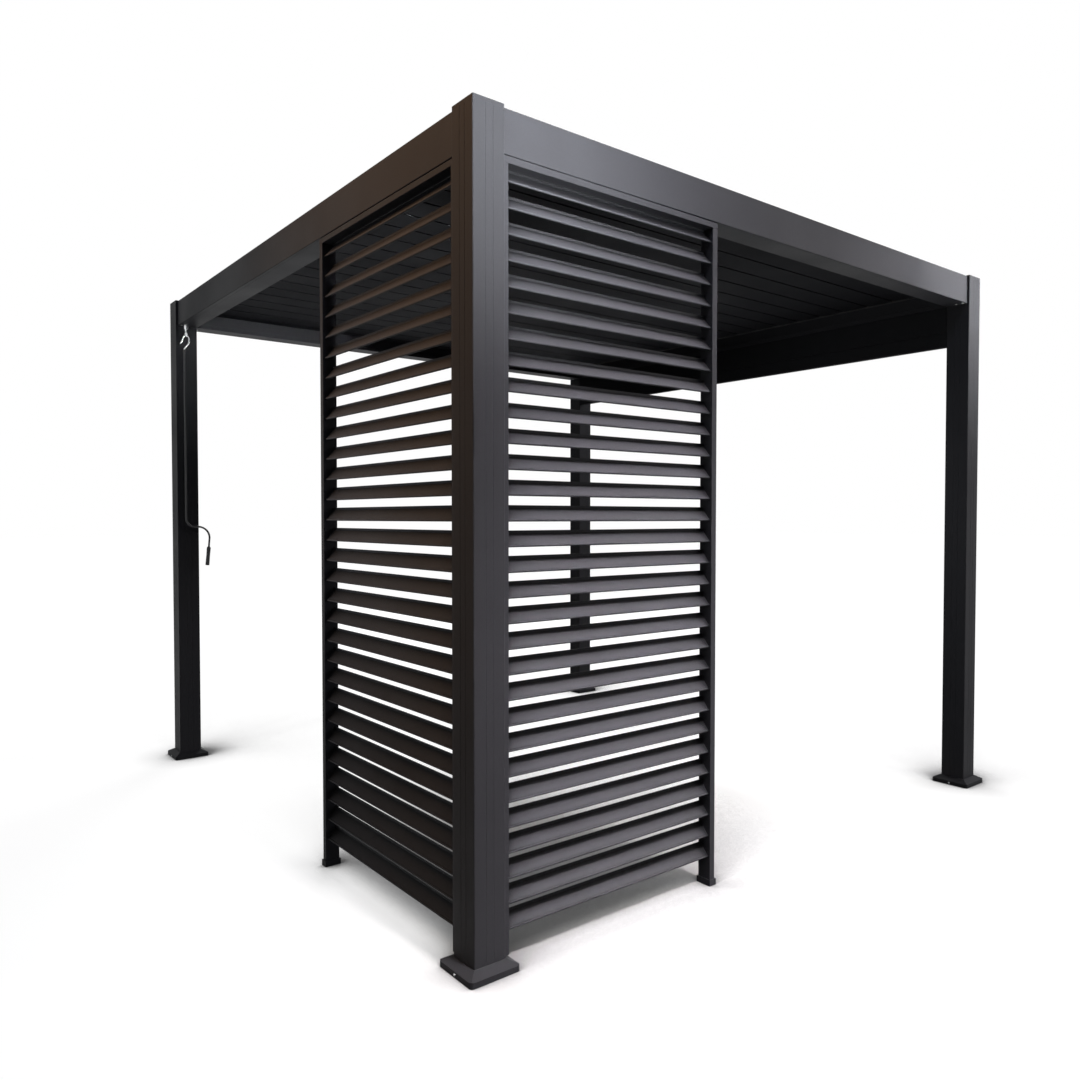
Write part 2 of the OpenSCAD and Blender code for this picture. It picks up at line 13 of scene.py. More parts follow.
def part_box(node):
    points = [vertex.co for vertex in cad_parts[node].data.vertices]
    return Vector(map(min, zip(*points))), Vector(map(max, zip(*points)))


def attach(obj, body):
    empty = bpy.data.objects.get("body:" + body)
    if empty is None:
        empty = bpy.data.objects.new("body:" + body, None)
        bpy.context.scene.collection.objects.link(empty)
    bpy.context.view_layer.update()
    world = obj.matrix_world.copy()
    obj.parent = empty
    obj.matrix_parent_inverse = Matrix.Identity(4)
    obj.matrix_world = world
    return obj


bl_info = {
    "name": "Louvred gazebo finish",
    "version": (1, 0, 0),
    "blender": (4, 5, 0),
    "location": "View3D > Sidebar > Gazebo",
    "description": "Finishes, fasteners and studio for a garden gazebo with a louvred roof",
    "category": "Object",
}

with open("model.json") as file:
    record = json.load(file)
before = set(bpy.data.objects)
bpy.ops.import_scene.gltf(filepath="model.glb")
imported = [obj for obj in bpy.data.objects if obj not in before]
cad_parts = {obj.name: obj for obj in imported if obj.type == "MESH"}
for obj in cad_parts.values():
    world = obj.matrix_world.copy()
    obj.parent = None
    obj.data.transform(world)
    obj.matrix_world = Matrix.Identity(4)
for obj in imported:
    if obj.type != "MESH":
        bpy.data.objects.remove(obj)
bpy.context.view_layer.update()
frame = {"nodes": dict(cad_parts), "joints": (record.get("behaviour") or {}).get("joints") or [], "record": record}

MM = 0.001
SLOTS = {material["slot"]: material for material in frame["record"]["materials"]}
POSTS = ["near_post", "front_right_post", "back_left_post", "back_right_post"]
# The beam ends that no screen or blind covers from below: -1 at the low end, 1 at the high one.
FREE_ENDS = {"front_beam": [1], "back_beam": [-1, 1], "left_beam": [1]}
LOUVRES = sorted(name for name in frame["nodes"] if name.startswith("louvre_"))
X, Y, Z = Vector((1, 0, 0)), Vector((0, 1, 0)), Vector((0, 0, 1))

# The range that most values of a noise texture lie in.
NOISE = (0.3, 0.7)
# How well a rounded and a true normal agree where the edge mask starts, and where it is full.
EDGE_MASK_SPAN = (0.995, 0.85)
# How much of the sky a slat sees in its hollow, and on its nose: the ends of the range over which shade is painted
# into the slats' hollows and light onto their noses.
SLAT_SKY = (0.68, 0.94)
# How much of the sky the floor sees where it is darkest, and where no shade reaches it.
CLOSE_SKY = (0.55, 0.97)
WIDE_SKY = (0.64, 0.92)
# Where the floor's wide shade looks for the sky: low on the front left, so that the screens
# block it for the floor behind them.
SHADE_FROM = (-0.86, -0.45, 0.25)
# Rays that measure the sky over a slat, and over the floor near and far.
SLAT_RAYS, CLOSE_RAYS, WIDE_RAYS = 12, 6, 12

# Roundings of bare metal and of moulded edges, and the depth of the marks on metal.
METAL_EDGE, MOULDED_EDGE, MARK_DEEP = 0.6 * MM, 0.5 * MM, 0.03 * MM
# Faces that meet at a flatter angle than this are shaded as one curve.
SMOOTH_ANGLE = math.radians(35)

# A round-headed screw from the rim of its flat top down to its shank's end, each step as a part
# of its radius and of its height. Its sides are twice those of its hexagonal socket.
SCREW_SIDES = 12
SCREW_TOP = 0.6
SCREW_OUTLINE = [(0.9, 0.8), (1.0, 0.35), (1.0, 0.0), (0.55, 0.0), (0.55, -1.0)]
# The flat rim round the screw's socket as a part of its radius, and the socket's depth as a part
# of its height.
SOCKET_RIM, SOCKET_DEEP = 0.16, 0.7
# The crank sleeve's waist from its lower to its upper end, and the slopes beside it, as parts of
# the sleeve's length below its top.
WAIST_LOW, WAIST_HIGH, WAIST_SLOPE = 0.72, 0.3, 0.03


def slot_colour(slot):
    """The record's base colour of a material slot."""
    return tuple(SLOTS[slot]["base_color"][:3])


def colour_property(slot, label, description):
    """A colour that starts as the record's base colour of a slot."""
    return FloatVectorProperty(name=label, description=description, subtype="COLOR", size=3,
                               min=0, max=1, default=slot_colour(slot))


def length_property(label, description, default_mm):
    """A length that is written in millimetres and kept in metres."""
    return FloatProperty(name=label, description=description, unit="LENGTH", subtype="DISTANCE",
                         min=0, default=default_mm * MM)


class GazeboCoats(bpy.types.PropertyGroup):
    """Tones and grain of the finishes"""

    post: colour_property("post_coat", "Posts", "Powder coat of the posts and caps")
    beam: colour_property("beam_coat", "Beams", "Powder coat of the beams")
    foot: colour_property("foot_coat", "Foot covers", "Powder coat of the foot covers")
    louvre: colour_property("louvre_coat", "Louvres", "Powder coat of the roof louvres")
    screen: colour_property("screen_coat", "Screens", "Powder coat of the louvre screens")
    blind: colour_property("blind_coat", "Blind", "Powder coat of the blind's box and bar")
    rod: colour_property("rod_coat", "Crank rod", "Coat of the crank's rod and sleeve")
    grain: length_property("Grain", "Size of the powder coat's grain", 1.1)
    grain_deep: length_property("Grain depth", "Depth of the powder coat's grain", 0.05)
    flow: length_property("Flow", "Size of the coat's slow waves", 14)
    flow_deep: length_property("Flow depth", "Depth of those waves", 0.15)
    edge: length_property("Edge", "Width over which a sheet's edge is rounded by its coat", 0.9)
    # Painted shade on the slats: the reach and the strength of the ambient occlusion that darkens their hollows
    # and pales their noses.
    painted_slat_shade: length_property("Hollow", "Distance over which one slat darkens the next", 120)
    painted_slat_shade_deep: FloatProperty(name="Hollow depth", description="Change of tone across a slat",
                               subtype="FACTOR", min=0, max=1, default=0.65)
    drift: FloatProperty(name="Drift", description="Change of tone along a piece", subtype="FACTOR",
                         min=0, max=1, default=0.1)
    gloss: FloatProperty(name="Roughness", description="Mean roughness of the powder coat",
                         subtype="FACTOR", min=0, max=1, default=0.5)


class GazeboFittings(bpy.types.PropertyGroup):
    """Sizes of the fasteners, clips, seals and the crank's sleeve"""

    anchor_across: length_property("Anchor head", "Width over the flats of an anchor's head", 16)
    anchor_high: length_property("Anchor head height", "Height of an anchor's head", 7)
    anchor_chamfer: length_property("Anchor chamfer", "Chamfer of an anchor head's corners", 1.2)
    anchor_washer: length_property("Anchor washer", "Radius of an anchor's washer", 10)
    washer_thick: length_property("Washer thickness", "Thickness of an anchor's washer", 1.6)
    anchor_shaft: length_property("Anchor shaft", "Radius of an anchor's shaft", 4.8)
    anchor_end: length_property("Anchor end", "From the ground up to an anchor shaft's end", 1)
    anchor_pitch: length_property("Anchor pitch", "Distance between the anchors of a foot", 132)
    screw_high: length_property("Screw height", "Height of the steel screws' heads", 2)
    foot_screw: length_property("Foot screw", "Radius of a foot cover screw's head", 4)
    foot_screw_up: length_property("Foot screw level", "From the ground up to those screws", 9)
    beam_screw: length_property("Beam screw", "Radius of a screw's head under a beam", 5)
    beam_screw_in: length_property("Beam screw inset", "From a beam's end to its screws", 18)
    chamber: length_property("Chamber", "Width of the beams' closed chamber", 60)
    louvre_half: length_property("Louvre half", "From the middle to an end plate's face", 1405)
    louvre_screw: length_property("Louvre screw", "Radius of a louvre end plate's screws", 3.5)
    louvre_screw_out: length_property("Louvre screw offset", "From the pivot to those screws", 37.5)
    louvre_screw_drop: length_property("Louvre screw drop", "From the pivot down to the screws", 3)
    lever: length_property("Lever", "Distance from a louvre's pivot to its lever pin", 40)
    clip: length_property("Clip", "Radius of a lever pin's retaining clip", 6)
    clip_bore: FloatProperty(name="Clip bore", description="A clip's bore as a part of its radius",
                             subtype="FACTOR", min=0, max=1, default=0.5)
    clip_thick: length_property("Clip thickness", "Thickness of that clip", 1)
    clip_gap: length_property("Clip gap", "Gap between the link bar and a clip", 0.3)
    lip_wall: length_property("Lip wall", "Wall of a louvre's lip", 1.4)
    lip_drop: length_property("Lip drop", "From a louvre's pivot down to its lip's edge", 3)
    seal: length_property("Seal", "Thickness of the rubber seal under a louvre's lip", 1.5)
    seal_deep: length_property("Seal depth", "Height of that seal", 6)
    seal_inset: length_property("Seal inset", "From an end plate's face to a seal's end", 3)
    seal_edge: length_property("Seal edge", "Rounding of a seal's edges", 0.4)
    strip: length_property("Bearing strip", "Thickness of the bearing strips", 5)
    strip_screw: length_property("Strip screw", "Radius of a bearing strip screw's head", 3.5)
    slat_screw: length_property("Slat screw", "Radius of a slat screw's head", 3.5)
    slat_screw_high: length_property("Slat screw height", "Height of a slat screw's head", 1.6)
    slat_pitch: length_property("Slat pitch", "Distance from one slat to the next", 75.5)
    slat_mid: length_property("Slat middle", "From a slat's lower edge up to its screw", 24)
    shoe_out: length_property("Shoe overhang", "Overhang of a stile's foot cap", 4)
    rod: length_property("Rod", "Radius of the crank's rod", 5)
    sleeve: length_property("Sleeve", "Length of the sleeve at the rod's top", 22)
    sleeve_gap: length_property("Sleeve gap", "Gap between the rod and its sleeve", 0.1)
    sleeve_rim: length_property("Sleeve rim", "From the rod out to the sleeve's rims", 1.6)
    sleeve_waist: length_property("Sleeve waist", "From the rod out to the sleeve's waist", 1.1)
    sleeve_foot: length_property("Sleeve foot", "Chamfer at the sleeve's lower end", 0.6)
    sleeve_top: length_property("Sleeve top", "Height of the cone at the sleeve's upper end", 1)
    sleeve_cone: length_property("Sleeve cone", "Width of that cone's slope", 0.8)
    collar: length_property("Collar", "Radius of the collar over the crank's eye", 10)
    collar_screw: length_property("Collar screw", "Radius of the collar's set screws", 2.6)
    collar_screw_high: length_property("Collar screw height", "Height of those screws' heads", 1.2)
    collar_screw_down: length_property("Collar screw level", "From the beam to those screws", 13)


class GazeboStage(bpy.types.PropertyGroup):
    """Levels of the studio"""

    ambient: FloatProperty(name="Ambient", description="Level of the soft light from all sides",
                           min=0, max=1, default=0.035)
    lamps: FloatProperty(name="Lamps", description="Level of all soft boxes", min=0, default=1.0)
    floor_bounce: FloatProperty(name="Floor bounce", description="Tone of the floor as a reflector",
                                subtype="FACTOR", min=0, max=1, default=0.05)
    floor_tone: FloatProperty(name="Floor", description="Tone of the floor as it is seen",
                              subtype="FACTOR", min=0, max=1, default=0.25)
    floor_lift: FloatProperty(name="Floor lift", description="Glow that keeps the floor near white",
                              min=0, max=1, default=0.93)
    floor_wide: length_property("Floor width", "Edge of the square floor", 120000)
    floor_drop: length_property("Floor drop", "From the ground's level down to the floor", 0.5)
    glow_near: length_property("Near glow", "Radius inside which the glow is the floor lift", 3500)
    glow_far: length_property("Far glow", "Radius past which the glow is white", 9000)
    contact_reach: length_property("Contact reach", "Reach of the shade round the feet", 240)
    contact_dark: FloatProperty(name="Contact tone", description="Glow left beside the feet",
                                subtype="FACTOR", min=0, max=1, default=0.15)
    shade_reach: length_property("Shade reach", "Reach of the soft shade behind the screens", 2000)
    shade_dark: FloatProperty(name="Shade tone", description="Glow left in the soft shade",
                              subtype="FACTOR", min=0, max=1, default=0.05)
    shade_curve: FloatProperty(name="Shade curve", description="Power that the shade fades by",
                               min=0, default=1.5)


class GazeboCamera(bpy.types.PropertyGroup):
    """The photograph's point of view"""

    place: FloatVectorProperty(name="Place", description="Where the lens stands",
                               subtype="TRANSLATION", default=(-2.842, -3.5081, 1.3217))
    heading: FloatProperty(name="Heading", description="Turn from the back towards the right",
                           subtype="ANGLE", default=math.radians(38.19))
    pitch: FloatProperty(name="Pitch", description="Tilt of the lens over the horizon",
                         subtype="ANGLE", default=math.radians(-1.49))
    lens: FloatProperty(name="Lens", description="Focal length in mm", min=1, default=28.6)
    sensor: FloatProperty(name="Sensor", description="Width of the sensor in mm", min=1, default=36)
    sight: length_property("Sight", "Farthest distance that the lens sees", 500000)


GROUPS = {"gazebo_coats": GazeboCoats, "gazebo_fittings": GazeboFittings,
          "gazebo_stage": GazeboStage, "gazebo_camera": GazeboCamera}


class Graph:
    """A material's or the world's node tree, built up one node at a time."""

    def __init__(self, tree):
        self.tree = tree

    def node(self, kind, inputs=None, **settings):
        """A new node with its settings and inputs, each a value or another node's output."""
        made = self.tree.nodes.new(kind)
        for key, value in settings.items():
            setattr(made, key, value)
        for key, value in (inputs or {}).items():
            self.plug(made.inputs[key], value)
        return made

    def plug(self, socket, value):
        """Links an output to a socket, or sets the socket's own value."""
        if isinstance(value, bpy.types.NodeSocket):
            self.tree.links.new(value, socket)
        else:
            socket.default_value = value

    def math(self, operation, a, b):
        """Two values joined by an operation."""
        made = self.node("ShaderNodeMath", operation=operation)
        self.plug(made.inputs[0], a)
        self.plug(made.inputs[1], b)
        return made.outputs[0]

    def spread(self, value, low, high, out_low, out_high):
        """A value remapped from one range to another, and held there."""
        made = self.node("ShaderNodeMapRange", {"Value": value, "From Min": low, "From Max": high,
                                                "To Min": out_low, "To Max": out_high})
        return made.outputs["Result"]

    def noise(self, scale, detail, stretch=(1, 1, 1)):
        """Soft noise in the piece's own place, with this many waves to a metre."""
        place = self.node("ShaderNodeTexCoord").outputs["Object"]
        mapped = self.node("ShaderNodeMapping", {"Vector": place, "Scale": stretch})
        made = self.node("ShaderNodeTexNoise", {"Vector": mapped.outputs["Vector"], "Scale": scale,
                                                "Detail": detail})
        return made.outputs["Fac"]

    def bump(self, height, distance, normal):
        """A normal raised by a height, over another normal."""
        made = self.node("ShaderNodeBump", {"Height": height, "Distance": distance,
                                            "Normal": normal})
        return made.outputs["Normal"]

    def tint(self, colour, value):
        """A colour times a value."""
        made = self.node("ShaderNodeVectorMath", operation="SCALE")
        self.plug(made.inputs[0], colour)
        self.plug(made.inputs["Scale"], value)
        return made.outputs[0]

    def edge_round_and_mask(self, radius):
        """The normal with edges rounded over a radius, and an edge mask: 0 on a face, 1 on an edge."""
        rounded = self.node("ShaderNodeBevel", {"Radius": radius}, samples=4).outputs["Normal"]
        true = self.node("ShaderNodeNewGeometry").outputs["Normal"]
        dot = self.node("ShaderNodeVectorMath", operation="DOT_PRODUCT")
        self.plug(dot.inputs[0], rounded)
        self.plug(dot.inputs[1], true)
        return rounded, self.spread(dot.outputs["Value"], *EDGE_MASK_SPAN, 0.0, 1.0)


def new_material(name):
    """An empty material with its shader, and the graph that its nodes go into."""
    material = bpy.data.materials.new(name)
    material.use_nodes = True
    graph = Graph(material.node_tree)
    graph.tree.nodes.clear()
    shader = graph.node("ShaderNodeBsdfPrincipled")
    graph.node("ShaderNodeOutputMaterial", {"Surface": shader.outputs["BSDF"]})
    return material, graph, shader


def powder_coat(name, colour, coats, shine=0.04, rougher=0.0, painted_slat_shade=0.0):
    """Fine powder coat: a slow drift of tone, soft waves, a fine grain and a paler edge, from a thinner coat and a
    painted edge highlight.

    Where the slat shade isn't 0, shade is painted into the coat between the slats and light onto their noses."""
    material, graph, shader = new_material(name)
    drift = graph.spread(graph.noise(scale=0.9, detail=3), *NOISE, 1 - coats.drift, 1 + coats.drift)
    cloudy = coats.drift / 3
    cloud = graph.spread(graph.noise(scale=7, detail=4), *NOISE, 1 - cloudy, 1 + cloudy)
    grain = graph.noise(scale=1 / coats.grain, detail=2)
    fleck = graph.spread(grain, 0.35, 0.75, 0.92, 1.12)
    rounded, thin_edge_and_sheen = graph.edge_round_and_mask(coats.edge)
    # Paler edges: partly the thinner coat on an edge, partly a painted edge highlight.
    paler = graph.spread(thin_edge_and_sheen, 0.0, 1.0, 1.0, 1.35)
    tone = graph.math("MULTIPLY", graph.math("MULTIPLY", drift, cloud),
                      graph.math("MULTIPLY", fleck, paler))
    # Painted shade and light: ambient occlusion darkens the coat in the slats' hollows and pales it on their
    # noses.
    if painted_slat_shade:
        sky = graph.node("ShaderNodeAmbientOcclusion", {"Distance": coats.painted_slat_shade},
                         samples=SLAT_RAYS)
        depth = graph.spread(sky.outputs["AO"], *SLAT_SKY, 1 - painted_slat_shade, 1 + painted_slat_shade)
        tone = graph.math("MULTIPLY", tone, depth)
    graph.plug(shader.inputs["Base Color"], graph.tint(colour, tone))
    rough = coats.gloss + rougher
    patches = graph.noise(scale=3, detail=4)
    graph.plug(shader.inputs["Roughness"],
               graph.spread(patches, *NOISE, rough - 0.05, rough + 0.06))
    shader.inputs["Specular IOR Level"].default_value = shine
    waves = graph.bump(graph.noise(scale=1 / coats.flow, detail=1), coats.flow_deep, rounded)
    graph.plug(shader.inputs["Normal"], graph.bump(grain, coats.grain_deep, waves))
    return material


def metal(name, colour, rough, streak=(1, 1, 1), marks_scale=60, spangle=0.0):
    """Bare or plated metal: a clouded tone, fine marks along the grain and a rounded edge."""
    material, graph, shader = new_material(name)
    shader.inputs["Metallic"].default_value = 1.0
    cloud = graph.spread(graph.noise(scale=18, detail=4), *NOISE, 0.92, 1.05)
    marks = graph.noise(scale=marks_scale, detail=3, stretch=streak)
    flakes = graph.node("ShaderNodeTexVoronoi", {"Scale": 90.0})
    graph.plug(flakes.inputs["Vector"], graph.node("ShaderNodeTexCoord").outputs["Object"])
    flaked = graph.spread(flakes.outputs["Distance"], 0.0, 0.6, 1 + spangle, 1 - spangle)
    graph.plug(shader.inputs["Base Color"],
               graph.tint(colour, graph.math("MULTIPLY", cloud, flaked)))
    graph.plug(shader.inputs["Roughness"], graph.spread(marks, *NOISE, rough - 0.06, rough + 0.1))
    rounded, _ = graph.edge_round_and_mask(METAL_EDGE)
    graph.plug(shader.inputs["Normal"], graph.bump(marks, MARK_DEEP, rounded))
    return material


def moulded(name, colour, rough, grain_scale, grain_deep):
    """Rubber or nylon: an even dark tone, a moulded grain and slightly dusty high spots."""
    material, graph, shader = new_material(name)
    grain = graph.noise(scale=grain_scale, detail=3)
    dust = graph.spread(graph.noise(scale=22, detail=4), 0.45, 0.8, 1.0, 1.5)
    graph.plug(shader.inputs["Base Color"], graph.tint(colour, dust))
    graph.plug(shader.inputs["Roughness"], graph.spread(grain, *NOISE, rough - 0.05, rough + 0.08))
    shader.inputs["Specular IOR Level"].default_value = 0.4
    rounded, _ = graph.edge_round_and_mask(MOULDED_EDGE)
    graph.plug(shader.inputs["Normal"], graph.bump(grain, grain_deep, rounded))
    return material


def finish_of(slot):
    """The finish of a material slot, made when it is first asked for."""
    name = "finish_" + slot
    made = bpy.data.materials.get(name)
    if made:
        return made
    coats = bpy.context.scene.gazebo_coats
    colour = slot_colour(slot)
    makers = {
        "post_coat": lambda: powder_coat(name, coats.post, coats),
        "beam_coat": lambda: powder_coat(name, coats.beam, coats),
        "foot_coat": lambda: powder_coat(name, coats.foot, coats),
        "louvre_coat": lambda: powder_coat(name, coats.louvre, coats, shine=0.01, rougher=0.1),
        "screen_coat": lambda: powder_coat(name, coats.screen, coats),
        "blind_coat": lambda: powder_coat(name, coats.blind, coats, shine=0.015, rougher=0.08),
        "rod_coat": lambda: powder_coat(name, coats.rod, coats, shine=0.4, rougher=-0.08),
        "plate_steel": lambda: metal(name, colour, rough=0.38, spangle=0.12),
        "eye_steel": lambda: metal(name, colour, rough=0.2, streak=(1, 1, 0.2), marks_scale=300),
        "link_aluminium": lambda: metal(name, colour, rough=0.36, streak=(1, 0.02, 1),
                                        marks_scale=400),
        "gearbox_casting": lambda: metal(name, colour, rough=0.5, marks_scale=500),
        "bearing_nylon": lambda: moulded(name, colour, rough=0.45, grain_scale=300,
                                         grain_deep=0.02 * MM),
        "grip_rubber": lambda: moulded(name, colour, rough=0.5, grain_scale=900,
                                       grain_deep=0.08 * MM),
    }
    return makers[slot]()


def slat_coat_with_painted_shade():
    """The screens' coat for their slats, with shade painted into their hollows and light painted onto their noses.
    """
    coats = bpy.context.scene.gazebo_coats
    made = bpy.data.materials.get("finish_slats")
    return made or powder_coat("finish_slats", coats.screen, coats, painted_slat_shade=coats.painted_slat_shade_deep)


def spun(profile, steps=24, ring=False):
    """A solid of revolution about Z from (radius, height) points: from pole to pole, or a ring."""
    shape = bmesh.new()
    verts = [shape.verts.new((radius, 0, height)) for radius, height in profile]
    ends = verts[1:] + verts[:1] if ring else verts[1:]
    edges = [shape.edges.new(pair) for pair in zip(verts, ends)]
    bmesh.ops.spin(shape, geom=verts + edges, cent=(0, 0, 0), axis=Z, angle=math.tau, steps=steps,
                   use_merge=True, use_duplicate=False)
    bmesh.ops.remove_doubles(shape, verts=shape.verts, dist=1e-6)
    bmesh.ops.dissolve_degenerate(shape, edges=shape.edges, dist=1e-7)
    bmesh.ops.recalc_face_normals(shape, faces=shape.faces)
    return shape


def softened(shape, edges, width, segments=2):
    """Bevels some edges of a shape."""
    bmesh.ops.bevel(shape, geom=list(edges), offset=width, offset_type="OFFSET", affect="EDGES",
                    segments=segments, profile=0.5, material=-1)
    return shape


def merged(*shapes):
    """Several shapes as one, each still its own closed shell."""
    whole = bmesh.new()
    for shape in shapes:
        mesh = bpy.data.meshes.new("part")
        shape.to_mesh(mesh)
        whole.from_mesh(mesh)
        bpy.data.meshes.remove(mesh)
        shape.free()
    return whole


def copies(shape, places):
    """The shape once at each place."""
    mesh = bpy.data.meshes.new("pattern")
    shape.to_mesh(mesh)
    shape.free()
    whole = bmesh.new()
    for place in places:
        first = len(whole.verts)
        whole.from_mesh(mesh)
        whole.verts.ensure_lookup_table()
        bmesh.ops.transform(whole, matrix=place, verts=whole.verts[first:])
    bpy.data.meshes.remove(mesh)
    return whole


def facing(point, direction):
    """A place at the point with its Z along the direction."""
    return Matrix.Translation(point) @ direction.to_track_quat("Z", "Y").to_matrix().to_4x4()


def add_piece(name, shape, slot, body="frame"):
    """Makes a shape an object with its slot's finish, riding on a body of the gazebo."""
    mesh = bpy.data.meshes.new(name)
    shape.to_mesh(mesh)
    shape.free()
    mesh.polygons.foreach_set("use_smooth", [True] * len(mesh.polygons))
    mesh.set_sharp_from_angle(angle=SMOOTH_ANGLE)
    mesh.materials.append(finish_of(slot))
    piece = bpy.data.objects.new(name, mesh)
    bpy.context.scene.collection.objects.link(piece)
    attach(piece, body)


def socket_screw(radius, high):
    """A round-headed screw with a hexagonal socket, seated on Z = 0, with a stub of its shank."""
    shape = bmesh.new()
    bmesh.ops.create_circle(shape, cap_ends=True, segments=SCREW_SIDES, radius=radius * SCREW_TOP)
    bmesh.ops.translate(shape, vec=(0, 0, high), verts=shape.verts)
    top = shape.faces[:][0]
    rim = shape.edges[:]
    for wide, level in SCREW_OUTLINE:
        grown = bmesh.ops.extrude_edge_only(shape, edges=rim)["geom"]
        for vert in grown:
            if isinstance(vert, bmesh.types.BMVert):
                vert.co = Vector((vert.co.x, vert.co.y, 0)).normalized() * radius * wide
                vert.co.z = high * level
        rim = [edge for edge in grown if isinstance(edge, bmesh.types.BMEdge)]
    bmesh.ops.edgeloop_fill(shape, edges=rim)
    bmesh.ops.inset_region(shape, faces=[top], thickness=radius * SOCKET_RIM)
    # Every second corner moves in to the middle of a hexagon's side.
    for vert in list(top.verts)[1::2]:
        vert.co.x *= math.cos(math.pi / 6)
        vert.co.y *= math.cos(math.pi / 6)
    sunk = bmesh.ops.extrude_face_region(shape, geom=[top])["geom"]
    floor = [vert for vert in sunk if isinstance(vert, bmesh.types.BMVert)]
    bmesh.ops.translate(shape, vec=(0, 0, -high * SOCKET_DEEP), verts=floor)
    bmesh.ops.delete(shape, geom=[face for face in [top] if face.is_valid], context="FACES")
    bmesh.ops.recalc_face_normals(shape, faces=shape.faces)
    return shape


def hex_prism(across, low, high, chamfer):
    """A hexagonal bolt head with its upper corners taken off."""
    shape = bmesh.new()
    bmesh.ops.create_circle(shape, cap_ends=True, segments=6, radius=across / math.sqrt(3))
    bmesh.ops.translate(shape, vec=(0, 0, low), verts=shape.verts)
    raised = bmesh.ops.extrude_face_region(shape, geom=shape.faces[:], use_keep_orig=True)["geom"]
    top = [vert for vert in raised if isinstance(vert, bmesh.types.BMVert)]
    bmesh.ops.translate(shape, vec=(0, 0, high - low), verts=top)
    bmesh.ops.recalc_face_normals(shape, faces=shape.faces)
    edges = [edge for edge in shape.edges if all(vert in top for vert in edge.verts)]
    return softened(shape, edges, chamfer, segments=1)


def bar(low, high, edge):
    """A bar between two corners, with its edges softened."""
    shape = bmesh.new()
    bmesh.ops.create_cube(shape, size=1.0)
    middle = (Vector(low) + Vector(high)) / 2
    bmesh.ops.scale(shape, vec=Vector(high) - Vector(low), verts=shape.verts)
    bmesh.ops.translate(shape, vec=middle, verts=shape.verts)
    return softened(shape, shape.edges[:], edge)


def pivot_of(louvre):
    """A point on the axis of a louvre's joint, at the middle of its length."""
    joint = next(joint for joint in frame["joints"] if joint["child"] == louvre)
    return Vector(joint["pos_m"])


def foot_centres():
    """The middle of each post, on the ground."""
    for name in POSTS:
        low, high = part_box(name)
        yield Vector(((low.x + high.x) / 2, (low.y + high.y) / 2, 0))


class PlaceCamera(bpy.types.Operator):
    """Stand the camera where the photograph was taken"""

    bl_idname = "gazebo.place_camera"
    bl_label = "Camera"

    def execute(self, context):
        view = context.scene.gazebo_camera
        data = bpy.data.cameras.new("gazebo_camera")
        data.sensor_width = view.sensor
        data.lens = view.lens
        data.clip_end = view.sight
        camera = bpy.data.objects.new("gazebo_camera", data)
        camera.location = view.place
        camera.rotation_euler = Euler((math.radians(90) + view.pitch, 0, -view.heading), "XYZ")
        context.scene.collection.objects.link(camera)
        context.scene.camera = camera
        return {"FINISHED"}


def grey(tone):
    """An even grey, as a colour socket takes it."""
    return (tone, tone, tone, 1)


def seen_directly(graph):
    """1 for rays that are seen: from the camera, off a glossy surface or through glass."""
    rays = graph.node("ShaderNodeLightPath").outputs
    shown = graph.math("MAXIMUM", rays["Is Camera Ray"], rays["Is Glossy Ray"])
    return graph.math("MAXIMUM", shown, rays["Is Transmission Ray"])


# Each soft box: its name, its place, aim and side in metres, its spread in degrees, its power in
# watts, and its colour.
LAMPS = [
    ("side_box", (2.2, -4.4, 3.6), (0.5, -1.5, 2.2), 0.8, 180, 60, (1.0, 0.94, 0.9)),
    ("right_box", (5.8, -3.5, 4.1), (1.4, -1.5, 1.8), 1.2, 180, 87, (0.94, 0.91, 1.0)),
    ("post_box", (-1.5, -2.7, 4.6), (-1.3, -1.5, 1.6), 0.8, 180, 15, (0.75, 0.78, 1.0)),
    ("screen_spot", (-0.9, -5.0, 7.5), (-0.9, -1.5, 0.4), 0.8, 22, 18, (1.0, 0.92, 0.94)),
    ("corner_spot", (-1.2, -5.2, 1.6), (-1.4, -1.5, 2.52), 0.4, 24, 9.5, (0.98, 0.99, 1.0)),
    ("beam_spot", (-0.2, -5.4, 1.8), (-0.8, -1.5, 2.6), 0.5, 22, 1.6, (0.9, 0.93, 1.0)),
    ("end_spot", (3.6, -4.8, 2.2), (1.6, -1.5, 2.5), 0.5, 24, 8.5, (1.0, 1.0, 1.0)),
    ("inner_spot", (-5.0, 1.4, 1.6), (1.4, -1.4, 1.4), 0.5, 30, 1.6, (1.0, 1.0, 1.0)),
    ("warm_spot", (-4.0, 0.6, 4.6), (-1.5, -1.2, 2.4), 0.6, 50, 7, (1.0, 0.48, 0.15)),
    ("back_box", (3.6, 6.4, 5.0), (0.4, 0.6, 1.4), 2.8, 180, 300, (1.0, 1.0, 1.0)),
]


def soft_box(name, place, target, side, spread, power, colour, level):
    """A square lamp aimed at a point."""
    data = bpy.data.lights.new(name, "AREA")
    data.size = side
    data.spread = math.radians(spread)
    data.energy = power * level
    data.color = colour
    lamp = bpy.data.objects.new(name, data)
    lamp.location = place
    lamp.rotation_euler = (Vector(target) - Vector(place)).to_track_quat("-Z", "Y").to_euler()
    lamp.visible_camera = False
    bpy.context.scene.collection.objects.link(lamp)


